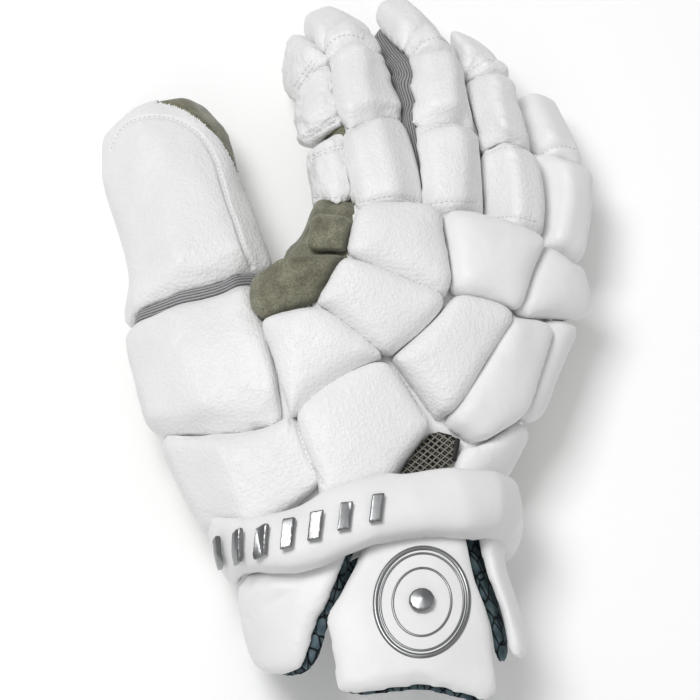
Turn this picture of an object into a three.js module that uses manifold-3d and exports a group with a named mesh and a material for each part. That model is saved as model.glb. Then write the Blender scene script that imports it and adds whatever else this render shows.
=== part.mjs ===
// A padded lacrosse glove for the right hand, lying palm down.
// +Y points to the fingertips, +X to the little finger, +Z up from the surface that it rests on.
// The hand shell is hollow and open at the wrist: a suede palm below, a leather back and knit fingers above.
// Leather-covered foam pads sit on the back, the fingers and the thumb; a padded band and three lined
// flaps make the cuff. Lengths are in millimetres, angles in degrees.
import * as THREE from 'three';
import { mergeVertices } from 'three/addons/utils/BufferGeometryUtils.js';
import Module from 'manifold-3d';

const wasm = await Module();
wasm.setup();

// Walls and gaps
const clearance = 0.4;         // between pieces that are sewn face to face
const shellWall = 1.8;         // suede and knit of the hand shell
const floorWall = 2.4;         // suede where the glove rests
const padEdge = 2.8;           // thickness of a pad at its sewn edge
const seamWidth = 0.9;         // between neighbouring pads
const cornerRadius = 3.6;        // of a pad's outline
const backPad = 12;            // foam of the thickest pads on the back of the hand
const padFullness = 5.2;       // how square a pad's rise is, from its edge to its crown

// Hand body: sections from the wrist edge to the knuckle line
const palmLength = 134;
const wristEdgeY = -8;
const palmHalfWidth = 60;
const palmHalfDepth = 28;
const palmHeight = 44;         // middle of the hand above the floor, at the knuckles
const knuckleShift = 56;       // the knuckles lie this far towards the little finger
const knuckleSlant = 0.385;    // slope of the knuckle line
const knuckleRoll = 14;        // the little finger's side is lower
const palmPower = 2.6;         // squareness of the sections
const palmNose = 7;            // rounding of the body past the knuckle line
const handRows = [
  // shares of palmLength, knuckleShift, palmHalfWidth, palmHeight, palmHalfDepth, knuckleSlant, knuckleRoll
  { along: 0.00, centre: 0.00, width: 0.74, height: 0.575, depth: 0.96, slant: 0.00, roll: 0.00 },
  { along: 0.25, centre: 0.20, width: 0.86, height: 0.62, depth: 1.04, slant: 0.26, roll: 0.28 },
  { along: 0.50, centre: 0.43, width: 0.91, height: 0.76, depth: 0.93, slant: 0.52, roll: 0.57 },
  { along: 0.75, centre: 0.68, width: 0.96, height: 0.90, depth: 0.82, slant: 0.78, roll: 0.86 },
  { along: 0.92, centre: 0.92, width: 0.95, height: 0.99, depth: 0.68, slant: 0.96, roll: 1.00 },
  { along: 1.00, centre: 1.00, width: 0.88, height: 1.00, depth: 0.58, slant: 1.00, roll: 1.00 },
];

// Digits: bones from the knuckle to the tip, bending down to the floor
const fingerLength = 122;
const fingerHalfWidth = 10;
const fingerHalfDepth = 11.5;
const fingerPad = 11;          // foam on the back of a finger
const fingerSidePad = 2;       // the same pad, at the finger's flanks
const indexSidePad = 7.5;      // separate pads on the thumb side of the index finger
const tipPress = 1.2;          // a tip is flattened by this much where it rests
const tipNarrowing = 0.1;      // a digit's tube is narrower at its tip by this share
const digitRoot = 20;          // a digit's tube starts this far inside the hand
const fingerSeam = 8;          // past a finger's root, where its suede is sewn to the palm
const thumbSeam = 28;          // along the thumb's tube, where its suede is sewn to the palm
const fingers = {
  // across, along, down: of the palm's half width, length and half depth; bones: of fingerLength; yaw: towards the thumb;
  // pitch: down, the last bone lands on the floor by itself
  index: { across: -0.40, along: 0.97, down: 0, girth: 1.8, bones: [0.36, 0.36, 0.26], yaw: [-3, 0, 8], pitch: [5, 15], roll: 12 },
  middle: { across: 0.07, along: 1.00, down: 0, girth: 1.33, bones: [0.356, 0.363, 0.27], yaw: [-8, -5, 10], pitch: [3, 13], roll: 16 },
  ring: { across: 0.60, along: 1.00, down: 0, girth: 0.95, bones: [0.333, 0.344, 0.23], yaw: [-8, -5, 11], pitch: [2, 11], roll: 20 },
  pinky: { across: 0.93, along: 1.00, down: 0.25, girth: 1.00, bones: [0.384, 0.27], yaw: [-14, 0], pitch: [3], roll: 28 },
};
const thumbHalfWidth = 26;
const thumbHalfDepth = 14;
const thumbDome = 37;          // length of the thumb's rounded end
const thumbPad = 11.5;
const thumbSidePad = 8;
const thumbInnerPad = 9;       // more on the side next to the hand
const thumbRoll = -16;
const thumbFold = 39;          // from the thumb's root to the end of its base pad
const thumbJoint = 94;         // and to the end of its middle pad
const elasticWidth = 7;
const thumbBend = [
  // the thumb's middle line from its root: across, along the hand, up
  [-32, 24, 32], [-41, 50, 36], [-47, 90, 35], [-43, 135, 27], [-43, 180, 16.5], [-44, 224, 9],
];

// Cuff: an arch round the wrist that carries the flaps and, over them, the band
const cuffLength = 92;
const cuffStartY = 8;
const cuffGap = 1.0;           // between the wrist shell and the flaps' linings
const cuffFlare = 4;           // the arch is this much wider at the flaps' ends
const flapLining = 3.2;
const flapLeather = 4.8;
const bandWidth = 27;
const bandThickness = 12;
const bandReach = 0.56;        // share of the half girth down to the band's ends
const bandMiddle = 0.02;       // share of cuffLength
const bandTilt = 0.19;         // the thumb side is further up the hand

// Trim
const ringHalfWidth = 21;
const ringHalfHeight = 25;
const ringBar = 3.4;
const ringRelief = 1.4;
const ringSpacing = 6;         // between the two rings on the middle flap
const studHalfWidth = 5;
const barHeight = 11.5;
const barWidth = 5.5;
const barLean = 2;             // a bar's top stands this far to the side
const barPitch = 12.5;
const barCount = 7;
const barRelief = 1.2;

const white = { color: 0xf2f2f1, roughness: 0.5, metalness: 0 };
const suede = { color: 0x7d7a6b, roughness: 0.95, metalness: 0 };
const knit = { color: 0x8b8b8c, roughness: 0.9, metalness: 0 };
const openMesh = { color: 0x2c2b29, roughness: 0.85, metalness: 0 };
const printed = { color: 0x44525a, roughness: 0.85, metalness: 0 };
const silver = { color: 0xb6b8ba, roughness: 0.3, metalness: 0.9 };

const radians = THREE.MathUtils.degToRad;
const glove = new THREE.Group();

// Closed solids from points and triangles, always facing outwards
function closedSurface(points, triangles) {
  let volume = 0;
  for (let i = 0; i < triangles.length; i += 3) {
    const [a, b, c] = [points[triangles[i]], points[triangles[i + 1]], points[triangles[i + 2]]];
    volume += a.dot(new THREE.Vector3().crossVectors(b, c));
  }
  const geometry = new THREE.BufferGeometry();
  const flat = points.flatMap((point) => [point.x, point.y, point.z]);
  geometry.setAttribute('position', new THREE.BufferAttribute(new Float32Array(flat), 3));
  geometry.setIndex(volume < 0 ? triangles.toReversed() : triangles);
  return geometry;
}

function toSolid(geometry) {
  const merged = mergeVertices(geometry.clone(), 1e-4);
  const vertProperties = new Float32Array(merged.attributes.position.array);
  const triVerts = new Uint32Array(merged.index.array);
  return new wasm.Manifold(new wasm.Mesh({ numProp: 3, vertProperties, triVerts }));
}

function toGeometry(solid) {
  const cut = solid.getMesh();
  const geometry = new THREE.BufferGeometry();
  geometry.setAttribute('position', new THREE.BufferAttribute(new Float32Array(cut.vertProperties), 3));
  geometry.setIndex(new THREE.BufferAttribute(new Uint32Array(cut.triVerts), 1));
  return geometry;
}

// A cut can leave crumbs: the biggest body is the piece
const biggest = (solid) => solid.decompose().reduce((a, b) => (b.volume() > a.volume() ? b : a));

const joined = (solids) => solids.reduce((sum, solid) => sum.add(solid));

function boxesMeet(first, second, gap) {
  const [a, b] = [first.boundingBox(), second.boundingBox()];
  return [0, 1, 2].every((i) => a.min[i] < b.max[i] + gap && b.min[i] < a.max[i] + gap);
}

// The solid less the others, each pushed out by the gap in six directions
function clearOf(solid, others, gap = clearance) {
  const pushes = [[1, 0, 0], [-1, 0, 0], [0, 1, 0], [0, -1, 0], [0, 0, 1], [0, 0, -1]];
  let left = solid;
  for (const other of others.filter((one) => boxesMeet(solid, one, gap))) {
    const moved = pushes.map((push) => other.translate(push.map((part) => part * gap)));
    left = wasm.Manifold.difference([left, ...moved]);
    left.volume();
    moved.forEach((copy) => copy.delete());
  }
  return left;
}

function aboveHeight(solid, height) {
  return solid.trimByPlane([0, 0, 1], height);
}

function addPiece(name, geometry, finish) {
  const drawn = geometry.toNonIndexed();
  drawn.computeVertexNormals();
  const piece = new THREE.Mesh(drawn, new THREE.MeshStandardMaterial(finish));
  piece.name = name;
  glove.add(piece);
}

// Rings of equal count joined into a closed tube with a fan at each end
function loft(rings) {
  const count = rings[0].length;
  const points = rings.flat();
  const triangles = [];
  const band = (a, b, c, d) => triangles.push(a, b, c, b, d, c);
  for (let row = 0; row < rings.length - 1; row++) {
    for (let i = 0; i < count; i++) {
      const a = row * count + i;
      const b = row * count + (i + 1) % count;
      band(a, b, a + count, b + count);
    }
  }
  for (const row of [0, rings.length - 1]) {
    const sum = rings[row].reduce((total, point) => total.add(point), new THREE.Vector3());
    const middle = points.push(sum.divideScalar(count)) - 1;
    for (let i = 0; i < count; i++) {
      const a = row * count + i;
      const b = row * count + (i + 1) % count;
      triangles.push(...(row === 0 ? [b, a, middle] : [a, b, middle]));
    }
  }
  return closedSurface(points, triangles);
}

// A sheet with an outer and an inner face over the square -1 to 1, joined round its border
function thickSheet(acrossSteps, alongSteps, outer, inner) {
  const spread = (steps) => Array.from({ length: steps + 1 }, (_, i) => -Math.cos(Math.PI * i / steps));
  const columns = spread(acrossSteps);
  const rows = spread(alongSteps);
  const width = columns.length;
  const points = [outer, inner].flatMap((face) => rows.flatMap((r) => columns.map((q) => face(q, r))));
  const under = width * rows.length;
  const triangles = [];
  const quad = (a, b, c, d) => triangles.push(a, b, c, a, c, d);
  for (let r = 0; r < alongSteps; r++) {
    for (let q = 0; q < acrossSteps; q++) {
      const a = r * width + q;
      quad(a, a + 1, a + width + 1, a + width);
      quad(a + under, a + width + under, a + width + 1 + under, a + 1 + under);
    }
  }
  const wall = (a, b) => quad(b, a, a + under, b + under);
  for (let q = 0; q < acrossSteps; q++) {
    wall(q, q + 1);
    wall(alongSteps * width + q + 1, alongSteps * width + q);
  }
  for (let r = 0; r < alongSteps; r++) {
    wall((r + 1) * width, r * width);
    wall(r * width + acrossSteps, (r + 1) * width + acrossSteps);
  }
  return closedSurface(points, triangles);
}

const roundOff = (share, power) => Math.pow(Math.max(0, 1 - Math.pow(Math.abs(share), power)), 1 / power);
const signedPower = (value, power) => Math.sign(value) * Math.pow(Math.abs(value), power);

// Half the girth of a section, and the angle from its top for each share of that
function girthOf(halfWidth, halfDepth, power) {
  const steps = 180;
  const point = (i) => new THREE.Vector2(
    halfWidth * signedPower(Math.sin(Math.PI * i / steps), 2 / power),
    halfDepth * signedPower(Math.cos(Math.PI * i / steps), 2 / power));
  const lengths = [0];
  for (let i = 1; i <= steps; i++) {
    lengths.push(lengths[i - 1] + point(i).distanceTo(point(i - 1)));
  }
  const total = lengths[steps];
  const angleAt = (share) => {
    const goal = Math.min(Math.abs(share), 1) * total;
    const i = Math.max(1, lengths.findIndex((length) => length >= goal));
    const part = (goal - lengths[i - 1]) / (lengths[i] - lengths[i - 1]);
    return Math.sign(share) * Math.PI * (i - 1 + part) / steps;
  };
  return { total, angleAt };
}

function smoothRows(rows) {
  const columns = Object.keys(rows[0]).filter((column) => column !== 'along');
  const places = rows.map((row) => row.along);
  const values = rows.flatMap((row) => columns.map((column) => row[column]));
  const track = new THREE.CubicInterpolant(places, values, columns.length);
  return (along) => {
    const found = track.evaluate(THREE.MathUtils.clamp(along, places[0], places[places.length - 1]));
    return Object.fromEntries(columns.map((column, i) => [column, found[i]]));
  };
}

// Surfaces by share of the half girth from the top, share of the length, and height above
const handRow = smoothRows(handRows);
function handSection(along, sideways, upwards) {
  const row = handRow(along);
  const roll = radians(row.roll * knuckleRoll);
  const x = sideways * Math.cos(roll) + upwards * Math.sin(roll);
  const z = upwards * Math.cos(roll) - sideways * Math.sin(roll);
  return new THREE.Vector3(
    row.centre * knuckleShift + x,
    wristEdgeY + along * palmLength - row.slant * knuckleSlant * x,
    row.height * palmHeight + z);
}
function handPoint(angle, along, above) {
  const row = handRow(along);
  return handSection(along,
    (row.width * palmHalfWidth + above) * signedPower(Math.sin(angle), 2 / palmPower),
    (row.depth * palmHalfDepth + above) * signedPower(Math.cos(angle), 2 / palmPower));
}
const handGirth = girthOf(palmHalfWidth, palmHalfDepth, palmPower);
const hand = {
  across: handGirth.total,
  length: palmLength,
  point: (share, along, above) => handPoint(handGirth.angleAt(share), along, above),
};

const cuffRow = handRow(0.06);
const cuffHalfWidth = cuffRow.width * palmHalfWidth + cuffGap;
const cuffHalfDepth = cuffRow.depth * palmHalfDepth + cuffGap;
const cuffGirth = girthOf(cuffHalfWidth, cuffHalfDepth, palmPower);
const cuff = {
  across: cuffGirth.total,
  length: cuffLength,
  point: (share, along, above) => {
    const angle = cuffGirth.angleAt(share);
    const out = above + cuffFlare * Math.max(0, along);
    return new THREE.Vector3(
      cuffRow.centre * knuckleShift + (cuffHalfWidth + out) * signedPower(Math.sin(angle), 2 / palmPower),
      cuffStartY - along * cuffLength,
      cuffRow.height * palmHeight + (cuffHalfDepth + out) * signedPower(Math.cos(angle), 2 / palmPower));
  },
};

// A digit's tube: a smooth middle line with a frame at each length from its root, and a domed end
function makeTube(bends, halfWidth, halfDepth, domeLength, roll, power) {
  const spine = new THREE.CatmullRomCurve3(bends, false, 'centripetal');
  const total = spine.getLength();
  const frame = (s) => {
    const share = THREE.MathUtils.clamp(s / total, 0, 1);
    const along = spine.getTangentAt(share);
    const right = new THREE.Vector3().crossVectors(along, new THREE.Vector3(0, 0, 1)).normalize();
    right.applyAxisAngle(along, radians(roll));
    return { centre: spine.getPointAt(share), right, up: new THREE.Vector3().crossVectors(right, along) };
  };
  const section = (s, angle, wide, deep) => {
    const at = frame(s);
    return at.centre
      .addScaledVector(at.right, wide * signedPower(Math.sin(angle), 2 / power))
      .addScaledVector(at.up, deep * signedPower(Math.cos(angle), 2 / power));
  };
  const dome = (s, inset) => {
    const left = (total - inset - s) / (domeLength - inset);
    return left >= 1 ? 1 : Math.sqrt(Math.max(0, 1 - (1 - left) * (1 - left)));
  };
  const slim = (s) => 1 - tipNarrowing * THREE.MathUtils.clamp(s / total, 0, 1);
  const shell = (s, angle, inset) => section(
    s, angle, (halfWidth * slim(s) - inset) * dome(s, inset), (halfDepth - inset) * dome(s, inset));
  const over = (s, angle, side, top) => section(
    s, angle, halfWidth * slim(s) * dome(s, 0) + side, halfDepth * dome(s, 0) + top);
  return { total, domeLength, shell, over };
}

// Rings of a section from one angle to another; a half section closes along its chord
function ring(count, from, to, point) {
  const whole = to - from === 360;
  const steps = whole ? count : count - 1;
  return Array.from({ length: count }, (_, i) => point(radians(from + (to - from) * i / steps)));
}

const parts = { cavity: [16, -180, 180, 0], whole: [20, -180, 180, 0], upper: [11, -90, 90, 0.5], lower: [11, 90, 270, -0.5] };

function bodySolid(part, inset) {
  const [count, from, to, lift] = parts[part];
  const nose = (palmNose - inset) / palmLength;
  const places = part === 'cavity' ? [-0.1, 0.2, 0.5, 0.8, 1] : [0, 0.2, 0.4, 0.6, 0.8, 0.92, 1];
  const rings = places.map((along) => ring(count, from, to, (angle) => handPoint(angle, along, -inset)));
  rings.push(ring(count, from, to, (angle) => handPoint(angle, 1 + nose, -inset - 0.8 * palmNose)));
  const shifted = loft(rings).translate(0, 0, lift * clearance);
  return aboveHeight(toSolid(shifted), inset > 0 ? floorWall : 0);
}

function tubeSolid(tube, part, inset) {
  const [, from, to, lift] = parts[part];
  const count = { cavity: 8, whole: 12 }[part] ?? 7;
  const end = tube.total - inset;
  const straight = end - (tube.domeLength - inset);
  const places = Array.from({ length: 5 }, (_, i) => inset + (straight - inset) * i / 4);
  for (const share of part === 'cavity' ? [0.6, 0.96] : [0.45, 0.8, 0.97]) {
    places.push(straight + share * (end - straight));
  }
  const rings = places.map((s) => ring(count, from, to, (angle) => tube.shell(s, angle, inset)));
  const shifted = loft(rings).translate(0, 0, lift * clearance);
  return aboveHeight(toSolid(shifted), inset > 0 ? floorWall : 0);
}

function fingerTube(finger) {
  const root = handSection(finger.along, finger.across * handRow(1).width * palmHalfWidth, -finger.down * palmHalfDepth);
  const heading = (yaw, pitch) => new THREE.Vector3(
    -Math.sin(radians(yaw)) * Math.cos(radians(pitch)),
    Math.cos(radians(yaw)) * Math.cos(radians(pitch)),
    -Math.sin(radians(pitch)));
  const bends = [root.clone().addScaledVector(heading(finger.yaw[0], finger.pitch[0]), -digitRoot), root];
  finger.bones.forEach((share, i) => {
    const start = bends[bends.length - 1];
    const bone = share * fingerLength;
    const last = i === finger.bones.length - 1;
    const drop = (start.z - fingerHalfDepth + tipPress) / bone;
    const pitch = last ? THREE.MathUtils.radToDeg(Math.asin(Math.min(0.75, drop))) : finger.pitch[i];
    const direction = heading(finger.yaw[i], pitch);
    bends.push(start.clone().addScaledVector(direction, bone));
    if (last) {
      bends.push(bends[bends.length - 1].clone().addScaledVector(direction, fingerHalfDepth));
    }
  });
  return makeTube(bends, finger.girth * fingerHalfWidth, fingerHalfDepth, fingerHalfDepth, finger.roll, 2.3);
}

const tubes = Object.fromEntries(Object.entries(fingers).map(([name, finger]) => [name, fingerTube(finger)]));
tubes.thumb = makeTube(
  thumbBend.map((bend) => new THREE.Vector3(...bend)), thumbHalfWidth, thumbHalfDepth, thumbDome, thumbRoll, 2.4);

// The band round the wrist: q across the hand, r along it, from -1 to 1
const bandBase = flapLining + flapLeather + 5 * clearance;
function bandPoint(q, r, above) {
  const share = q * bandReach;
  const along = bandMiddle + bandTilt * share - r * bandWidth / 2 / cuffLength;
  return cuff.point(share, along, bandBase + above);
}
const bandCrown = (q, r) => padEdge + (bandThickness - padEdge) * roundOff(q, 8) * roundOff(r, 3);
const band = toSolid(thickSheet(
  16, 6, (q, r) => bandPoint(q, r, bandCrown(q, r)), (q, r) => bandPoint(q, r, 0)));

// Hand shell, hollow and open at the wrist
const cavity = clearOf(joined([
  bodySolid('cavity', shellWall), ...Object.values(tubes).map((tube) => tubeSolid(tube, 'cavity', shellWall)),
]), [band], shellWall + clearance);
const gusseted = ['middle', 'ring', 'pinky'];
const palmOuter = clearOf(joined([
  bodySolid('lower', 0), tubeSolid(tubes.index, 'whole', 0), tubeSolid(tubes.thumb, 'whole', 0),
  ...gusseted.map((name) => tubeSolid(tubes[name], 'lower', 0)),
]), [band]);
const backOuter = clearOf(bodySolid('upper', 0), [palmOuter]);
const bodyReach = bodySolid('whole', -1.5 * clearance);
const indexReach = tubeSolid(tubes.index, 'whole', -1.5 * clearance);
const gussets = gusseted.map((name) => clearOf(tubeSolid(tubes[name], 'upper', 0).subtract(bodyReach), [indexReach]));
// What a pad is cut by, so that its underside follows the shell
const shellReach = joined([bodyReach, ...Object.values(tubes).map(
  (tube) => tubeSolid(tube, 'whole', -1.5 * clearance))]);

// The digits' suede is cut from the palm's at a seam across each tube
function beyondSeam(tube, seam, grown, gap) {
  const centre = (s) => tube.shell(s, 0, 0).add(tube.shell(s, Math.PI, 0)).multiplyScalar(0.5);
  const along = centre(seam + 1).sub(centre(seam)).normalize();
  return tubeSolid(tube, 'whole', -grown).trimByPlane(along.toArray(), along.dot(centre(seam)) - gap);
}
let palm = palmOuter.subtract(cavity);
for (const name of ['thumb', 'index', 'middle', 'ring']) {
  const seam = name === 'thumb' ? thumbSeam : digitRoot + fingerSeam;
  const digit = palm.intersect(beyondSeam(tubes[name], seam, clearance, 0));
  addPiece(`${name}_suede`, toGeometry(biggest(digit)), suede);
  palm = palm.subtract(beyondSeam(tubes[name], seam, 2 * clearance, clearance));
}
addPiece('palm_suede', toGeometry(biggest(palm)), suede);
addPiece('back_base', toGeometry(biggest(backOuter.subtract(cavity))), white);
gussets.forEach((gusset, i) => {
  addPiece(`${gusseted[i]}_gusset`, toGeometry(biggest(gusset.subtract(cavity))), knit);
});

// Pads with a polygon outline: corners as shares of half girth and length, pulled in for the seam and rounded
function roundedOutline(surface, corners, longest) {
  const flat = corners.map(([share, along]) => new THREE.Vector2(share * surface.across, along * surface.length));
  const middle = flat.reduce((sum, point) => sum.add(point), new THREE.Vector2()).divideScalar(flat.length);
  const pulled = flat.map((point) => point.clone().add(middle.clone().sub(point).setLength(seamWidth / 2)));
  const points = [];
  pulled.forEach((corner, i) => {
    const before = pulled[(i + pulled.length - 1) % pulled.length];
    const after = pulled[(i + 1) % pulled.length];
    const reach = (other) => Math.min(cornerRadius, 0.4 * corner.distanceTo(other));
    const enter = corner.clone().add(before.clone().sub(corner).setLength(reach(before)));
    const leave = corner.clone().add(after.clone().sub(corner).setLength(reach(after)));
    const bend = new THREE.QuadraticBezierCurve(enter, corner, leave);
    points.push(...bend.getPoints(2));
    const next = after.clone().add(corner.clone().sub(after).setLength(Math.min(cornerRadius, 0.4 * corner.distanceTo(after))));
    const pieces = Math.ceil(leave.distanceTo(next) / longest);
    for (let k = 1; k < pieces; k++) {
      points.push(leave.clone().lerp(next, k / pieces));
    }
  });
  return { points, middle };
}

function surfacePad(surface, corners, base, thickness, fullness, { under, upper, longest }) {
  const { points, middle } = roundedOutline(surface, corners, longest);
  const place = (point, share, above) => {
    const spot = middle.clone().lerp(point, share);
    return surface.point(spot.x / surface.across, spot.y / surface.length, base + above);
  };
  const edge = Math.min(padEdge, 0.5 * thickness);
  const crown = (share) => edge + (thickness - edge) * roundOff(share, fullness);
  const ringAt = (share, above) => points.map((point) => place(point, Math.max(share, 0.02), above));
  return toSolid(loft([
    ...under.map((share) => ringAt(share, 0)), ...upper.map((share) => ringAt(share, crown(share)))]));
}

const pillowRings = { under: [0, 0.6, 1], upper: [1, 0.95, 0.78, 0.4, 0], longest: 30 };
const backCorners = {
  // corners: share of the half girth from the top, share of palmLength
  knuckle_index_pad: { thick: 1, corners: [[-0.250, 0.99], [-0.010, 1.04], [0.068, 0.775], [-0.212, 0.835]] },
  knuckle_middle_pad: { thick: 1, corners: [[0.000, 1.04], [0.285, 1.04], [0.250, 0.765], [0.080, 0.775]] },
  knuckle_pinky_pad: { thick: 0.8, corners: [[0.297, 1.03], [0.457, 1.00], [0.463, 0.84], [0.257, 0.765]] },
  back_index_pad: { thick: 1, corners: [[-0.225, 0.83], [0.058, 0.77], [-0.028, 0.56], [-0.258, 0.70]] },
  back_middle_pad: { thick: 1, corners: [[-0.014, 0.55], [0.073, 0.765], [0.240, 0.755], [0.131, 0.37]] },
  back_pinky_pad: {
    thick: 0.85, corners: [[0.250, 0.75], [0.363, 0.78], [0.357, 0.43], [0.250, 0.305], [0.145, 0.36]] },
  side_strip: { thick: 0.7, corners: [[0.372, 0.79], [0.457, 0.82], [0.433, 0.43], [0.362, 0.43]] },
  back_thumb_pad: { thick: 1, corners: [[-0.395, 0.66], [-0.260, 0.69], [-0.028, 0.55], [-0.236, 0.385]] },
  heel_pad: {
    thick: 0.95, corners: [[-0.244, 0.385], [-0.022, 0.535], [0.100, 0.352], [0.035, 0.19], [-0.175, 0.175]] },
  wrist_side_panel: {
    thick: 0.4, corners: [[0.232, 0.292], [0.268, 0.292], [0.383, 0.418], [0.468, 0.42], [0.455, 0.19], [0.232, 0.17]] },
  wrist_vent: { thick: 0.25, corners: [[0.114, 0.352], [0.224, 0.322], [0.224, 0.17], [0.045, 0.17]] },
  web_upper_pad: { thick: 0.6, corners: [[-0.262, 0.98], [-0.228, 0.862], [-0.345, 0.878], [-0.385, 0.98]] },
  web_pad: {
    thick: 0.75, corners: [[-0.238, 0.855], [-0.240, 0.83], [-0.275, 0.705], [-0.395, 0.665], [-0.460, 0.70], [-0.462, 0.775], [-0.405, 0.835], [-0.345, 0.87]] },
};
const backPads = Object.fromEntries(Object.entries(backCorners).map(([name, pad]) => [
  name, surfacePad(hand, pad.corners, -padEdge, pad.thick * backPad + padEdge, padFullness, pillowRings).subtract(shellReach)]));
for (const name of Object.keys(backPads)) {
  backPads[name] = clearOf(backPads[name], [band, ...(name.startsWith('knuckle') ? gussets : [])]);
}
for (const [name, pad] of Object.entries(backPads)) {
  addPiece(name, toGeometry(biggest(pad)), { web_pad: suede, web_upper_pad: suede, wrist_vent: openMesh }[name] ?? white);
}

// Pads wrapped round a tube, between two angles and two lengths that may curve across it
function wrapPad(tube, { from, to, start, end, side, inner = 0, top, steps = [5, 4], fullness = padFullness }) {
  const rim = Math.min(padEdge, side);
  const angleAt = (q) => radians((from + to) / 2 + q * (to - from) / 2);
  const lengthAt = (q, r) => THREE.MathUtils.lerp(start(q), end(q), (r + 1) / 2);
  const crown = (q, r) => roundOff(q, fullness) * roundOff(r, fullness);
  const outer = (q, r) => {
    const angle = angleAt(q);
    const lean = Math.max(0, Math.cos(angle)) * crown(q, r);
    const flank = rim + (side + inner * Math.max(q, 0) - rim) * Math.max(crown(q, r), 0);
    return tube.over(lengthAt(q, r), angle, clearance + flank, clearance + flank + (top - side) * lean);
  };
  const within = (q, r) => tube.over(lengthAt(q, r), angleAt(q), -1, -1);
  return aboveHeight(toSolid(thickSheet(...steps, outer, within)).subtract(shellReach), clearance);
}
const level = (s) => () => s;
const bowed = (s, rise) => (q) => s + rise * (1 - q * q);


// The index finger has pads of its own on this flank, and the middle finger shows its knit
const bareFlank = ['index', 'middle'];
const fingerPads = {};
for (const [name, finger] of Object.entries(fingers)) {
  const tube = tubes[name];
  const dorsal = { from: bareFlank.includes(name) ? -38 : -82, to: 96, side: fingerSidePad, top: fingerPad };
  const bend = digitRoot + finger.bones[0] * fingerLength;
  const cut = seamWidth / 2;
  const end = tube.total - 3;
  fingerPads[`${name}_base_pad`] = wrapPad(tube, { ...dorsal, start: level(digitRoot + 4), end: level(bend - cut) });
  if (finger.bones.length === 3) {
    const joint = bend + finger.bones[1] * fingerLength;
    fingerPads[`${name}_middle_pad`] = wrapPad(tube, { ...dorsal, start: level(bend + cut), end: level(joint - cut) });
    fingerPads[`${name}_joint_pad`] = wrapPad(tube, {
      ...dorsal, top: 0.85 * fingerPad, start: level(joint + cut), end: bowed(joint + 4, 7) });
    fingerPads[`${name}_tip_pad`] = wrapPad(tube, {
      ...dorsal, start: bowed(joint + 4 + seamWidth, 7), end: level(end) });
  } else {
    fingerPads[`${name}_tip_pad`] = wrapPad(tube, { ...dorsal, start: level(bend + cut), end: level(end) });
  }
}

const indexBend = digitRoot + fingers.index.bones[0] * fingerLength;
const indexJoint = indexBend + fingers.index.bones[1] * fingerLength;
const flank = { from: -118, to: -42, side: indexSidePad, top: indexSidePad };
fingerPads.index_side_base = wrapPad(tubes.index, { ...flank, start: level(digitRoot + 9), end: level(indexBend - 3) });
fingerPads.index_side_middle = wrapPad(tubes.index, { ...flank, start: level(indexBend + 3), end: level(indexJoint - 3) });
fingerPads.index_side_tip = wrapPad(tubes.index, {
  ...flank, start: level(indexJoint + 0), end: level(tubes.index.total - 12) });
const done = [];
for (const [name, pad] of Object.entries(fingerPads)) {
  const rooted = name.endsWith('_base_pad') || name === 'index_side_base';
  const neighbours = ['knuckle_index_pad', 'knuckle_middle_pad', 'knuckle_pinky_pad', 'web_upper_pad'];
  const others = done.filter((other) => other.finger !== name.split('_')[0]).map((other) => other.pad);
  const clear = clearOf(pad, [...others, ...(rooted ? neighbours.map((other) => backPads[other]) : [])]);
  done.push({ finger: name.split('_')[0], pad: clear });
  addPiece(name, toGeometry(biggest(clear)), white);
}

const thumbSpan = { from: -100, to: 92, side: thumbSidePad, top: thumbPad, steps: [6, 4] };
const slanted = (s, rise) => (q) => s + rise * q;
const thumbPads = {
  thumb_base_pad: wrapPad(tubes.thumb, { ...thumbSpan, inner: thumbInnerPad, start: level(2), end: slanted(thumbFold, -6) }),
  thumb_middle_pad: wrapPad(tubes.thumb, {
    ...thumbSpan, inner: thumbInnerPad / 2, start: slanted(thumbFold + seamWidth, -6), end: slanted(thumbJoint, 4) }),
  thumb_elastic: wrapPad(tubes.thumb, {
    ...thumbSpan, side: 2.5, top: 2.5, start: slanted(thumbJoint + seamWidth, 4),
    end: slanted(thumbJoint + elasticWidth, 4), steps: [6, 2] }),
  thumb_tip_pad: wrapPad(tubes.thumb, {
    ...thumbSpan, to: 100, start: slanted(thumbJoint + elasticWidth + seamWidth, 4),
    end: level(tubes.thumb.total - 4), steps: [6, 6] }),
};
for (const [name, pad] of Object.entries(thumbPads)) {
  thumbPads[name] = biggest(clearOf(pad, [backPads.back_thumb_pad, backPads.heel_pad, backPads.web_pad, band]));
  addPiece(name, toGeometry(thumbPads[name]), name === 'thumb_elastic' ? knit : white);
}

// Cuff: lined flaps that hang back from the wrist, and the padded band over their roots
const flapCorners = {
  // corners: share of the half girth from the top, share of cuffLength
  flap_thumb_side: [
    [-0.53, 0.07], [-0.05, 0.07], [-0.09, 0.21], [-0.275, 0.575], [-0.315, 0.60], [-0.40, 0.58], [-0.48, 0.51],
    [-0.54, 0.40], [-0.55, 0.25]],
  flap_middle: [
    [-0.015, 0.07], [0.262, 0.07], [0.265, 0.30], [0.268, 0.85], [0.240, 0.87], [0.04, 0.83], [-0.14, 0.865],
    [-0.205, 0.82], [-0.185, 0.43], [-0.045, 0.22]],
  flap_finger_side: [
    [0.300, 0.07], [0.462, 0.07], [0.455, 0.55], [0.410, 0.69], [0.350, 0.72], [0.333, 0.68], [0.310, 0.28]],
};
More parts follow.
